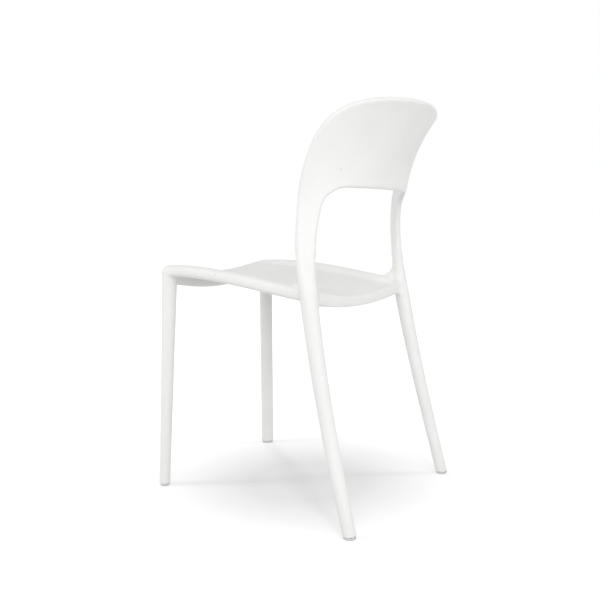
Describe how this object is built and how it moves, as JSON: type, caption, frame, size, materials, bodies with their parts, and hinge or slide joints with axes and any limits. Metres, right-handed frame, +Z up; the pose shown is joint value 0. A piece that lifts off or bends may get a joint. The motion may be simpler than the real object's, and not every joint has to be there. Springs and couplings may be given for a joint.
{
  "type": "stacking chair",
  "caption": "White moulded stacking chair with a dished seat in a raised rim, splayed round legs and a wrapped back panel over an open gap.",
  "frame": {"origin": "on the floor, in the chair's centre plane, below the middle of its overall depth", "axes": "+Z up, -Y towards the front edge of the seat, +X to the sitter's left"},
  "size_m": [0.4448, 0.5336, 0.7862],
  "materials": {
    "moulding": "satin, finely textured white polypropylene",
    "glides": "matte pale grey polyamide"
  },
  "bodies": {
    "root": {"seat_pan": "moulding", "front_lip": "moulding", "rear_apron": "moulding", "backrest": "moulding", "left_side_rail": "moulding", "right_side_rail": "moulding", "left_back_upright": "moulding", "right_back_upright": "moulding", "front_left_leg": "moulding", "front_right_leg": "moulding", "rear_left_leg": "moulding", "rear_right_leg": "moulding", "front_left_glide": "glides", "front_right_glide": "glides", "rear_left_glide": "glides", "rear_right_glide": "glides"}
  },
  "joints": []
}
